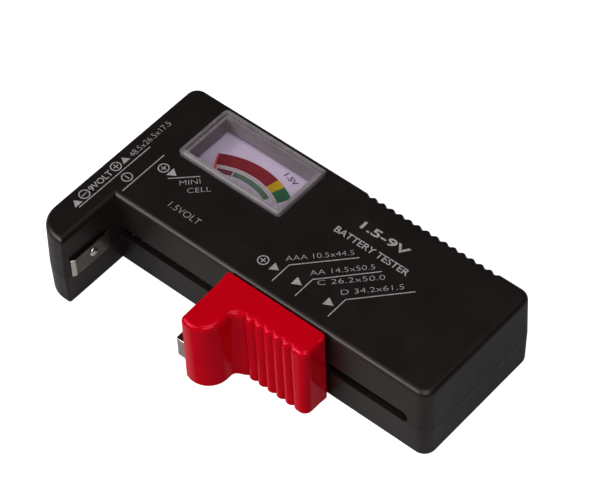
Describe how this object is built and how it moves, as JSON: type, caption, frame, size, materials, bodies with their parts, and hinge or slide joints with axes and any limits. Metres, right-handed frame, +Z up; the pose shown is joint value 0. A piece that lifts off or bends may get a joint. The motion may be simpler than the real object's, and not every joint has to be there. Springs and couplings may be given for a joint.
{
  "type": "battery tester",
  "caption": "Hand-held battery tester with a moving-coil meter window, a fixed contact on its arm and a sliding contact that closes on a cell.",
  "frame": {"origin": "middle of the case's footprint on the table, at the bottom face", "axes": "+X along the case from the arm to the right end, +Y from the cell bay to the back, +Z up out of the printed top face"},
  "size_m": [0.1085, 0.06, 0.0249],
  "materials": {
    "case_plastic": "fine satin moulded texture",
    "slider_plastic": "semi-gloss moulded",
    "contact_metal": "nickel-plated spring strip",
    "screw_metal": "zinc-plated",
    "clear_plastic": "polished clear polystyrene",
    "grey_plastic": "satin moulded",
    "meter_plastic": "satin moulded",
    "dial_enamel": "printed enamel",
    "pointer_paint": "painted aluminium",
    "brass": "turned and stamped",
    "soft_iron": "plated soft iron",
    "magnet_alloy": "ground alloy",
    "aluminium": "thin sheet",
    "copper_wire": "enamelled copper winding",
    "spring_bronze": "phosphor bronze",
    "resistor_blue": "lacquered",
    "resistor_tan": "lacquered",
    "tinned_lead": "tinned copper",
    "red_insulation": "PVC",
    "black_insulation": "PVC",
    "blue_insulation": "PVC",
    "yellow_insulation": "PVC"
  },
  "bodies": {
    "case": {"top_cover": "case_plastic", "bottom_cover": "case_plastic", "case_screws": "screw_metal", "arm_contact": "contact_metal", "arm_rivet": "contact_metal", "nine_volt_negative": "contact_metal", "nine_volt_positive": "contact_metal", "contact_rail": "contact_metal", "rail_screws": "screw_metal", "meter_cover": "clear_plastic", "meter_frame": "grey_plastic", "meter_case": "meter_plastic", "dial_plate": "dial_enamel", "dial_screws": "screw_metal", "magnet": "magnet_alloy", "pole_pieces": "soft_iron", "core": "soft_iron", "core_bracket": "brass", "top_bridge": "brass", "bottom_bridge": "brass", "bridge_screws": "screw_metal", "jewel_screws": "brass", "spring_anchors": "brass", "stop_pins": "screw_metal", "meter_terminals": "brass", "load_resistor": "resistor_blue", "series_resistor": "resistor_tan", "nine_volt_resistor": "resistor_tan", "resistor_leads": "tinned_lead", "red_wire": "red_insulation", "black_wire": "black_insulation", "sense_wire": "blue_insulation", "nine_volt_wire": "yellow_insulation"},
    "slider": {"slider_knob": "slider_plastic", "slider_carriage": "slider_plastic", "slider_screws": "screw_metal", "slider_contact": "contact_metal", "slider_wiper": "spring_bronze"},
    "movement": {"pointer": "pointer_paint", "balance_weight": "brass", "coil_former": "aluminium", "coil_winding": "copper_wire", "pivot_shafts": "screw_metal", "hairsprings": "spring_bronze"}
  },
  "joints": [
    {"name": "slider_slide", "type": "slide", "parent": "case", "child": "slider", "axis": [1, 0, 0], "range_m": [-0.0333, 0.028]},
    {"name": "pointer_swing", "type": "hinge", "parent": "case", "child": "movement", "pos_m": [-0.025, -0.00085, 0.0192], "axis": [0, 0, 1], "range_deg": [-61, 0]}
  ]
}
